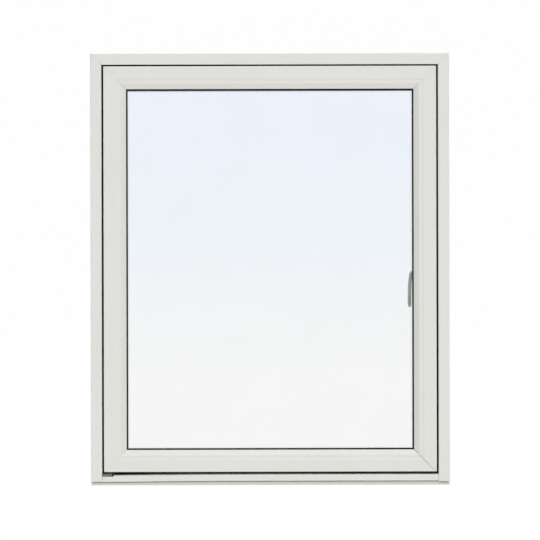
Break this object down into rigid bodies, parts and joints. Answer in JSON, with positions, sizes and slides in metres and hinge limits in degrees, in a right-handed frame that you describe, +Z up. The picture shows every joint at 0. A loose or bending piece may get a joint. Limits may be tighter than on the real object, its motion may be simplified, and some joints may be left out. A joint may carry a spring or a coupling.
{
  "type": "side-hung casement window",
  "caption": "Outward-opening side-hung window: white timber frame and sash clad outside in mitred aluminium, a clear triple-glazed unit, corner pivot hinges and a lever handle inside.",
  "frame": {"origin": "middle of the underside of the frame sill, at half the frame's depth", "axes": "+X to the right seen from outdoors, +Y from the weather side to the room, +Z up"},
  "size_m": [0.98, 0.125, 1.18],
  "materials": {
    "white_timber": "satin white paint",
    "white_aluminium": "satin white powder coat",
    "clear_glass": "polished",
    "spacer": "matt",
    "black_rubber": "matt",
    "edge_sealant": "matt",
    "zinc_steel": "zinc plated",
    "satin_handle": "satin"
  },
  "bodies": {
    "root": {"frame_head": "white_timber", "frame_sill": "white_timber", "frame_left_jamb": "white_timber", "frame_right_jamb": "white_timber", "sash_top_rail": "white_timber", "sash_bottom_rail": "white_timber", "sash_left_stile": "white_timber", "sash_right_stile": "white_timber", "frame_head_cladding": "white_aluminium", "frame_left_cladding": "white_aluminium", "frame_right_cladding": "white_aluminium", "sill_cladding": "white_aluminium", "sash_top_cladding": "white_aluminium", "sash_bottom_cladding": "white_aluminium", "sash_left_cladding": "white_aluminium", "sash_right_cladding": "white_aluminium", "outer_pane": "clear_glass", "middle_pane": "clear_glass", "inner_pane": "clear_glass", "outer_spacer": "spacer", "inner_spacer": "spacer", "glazing_gasket": "black_rubber", "glazing_tape": "black_rubber", "outer_weather_seal": "black_rubber", "sill_weather_seal": "black_rubber", "inner_weather_seal": "black_rubber", "edge_seals": "edge_sealant", "bottom_hinge_plate": "zinc_steel", "bottom_hinge_arm": "zinc_steel", "bottom_hinge_pin": "zinc_steel", "top_hinge_plate": "zinc_steel", "top_hinge_arm": "zinc_steel", "top_hinge_pin": "zinc_steel", "handle_rose": "satin_handle", "handle_lever": "satin_handle"}
  },
  "joints": []
}
